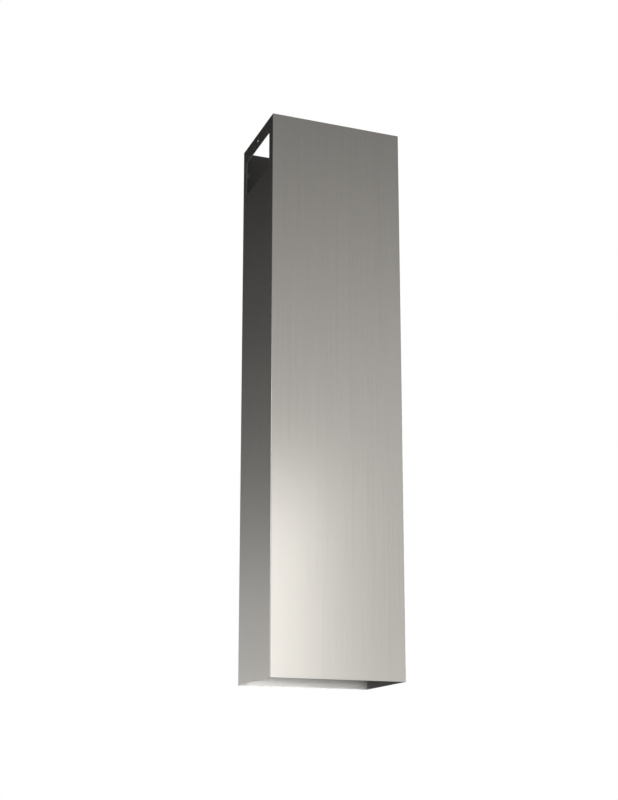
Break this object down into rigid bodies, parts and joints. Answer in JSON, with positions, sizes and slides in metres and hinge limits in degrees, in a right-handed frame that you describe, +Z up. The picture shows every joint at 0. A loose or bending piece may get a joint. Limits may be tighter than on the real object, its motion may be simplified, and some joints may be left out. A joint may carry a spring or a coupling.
{
  "type": "cooker hood chimney section",
  "caption": "Upright rectangular sleeve folded from one brushed stainless sheet, open at both ends, with an air outlet and a fixing hole near the top of each side.",
  "frame": {"origin": "centre of the rectangle round the lower end, on the plane of the lower rim", "axes": "+Z up along the sleeve's length, towards the end with the air outlets; +Y to the back, so the plain front panel faces -Y; +X to the right seen from the front"},
  "size_m": [0.244, 0.167, 1],
  "materials": {
    "brushed_stainless": "satin, brushed along its height"
  },
  "bodies": {
    "root": {"chimney_sleeve": "brushed_stainless"}
  },
  "joints": []
}
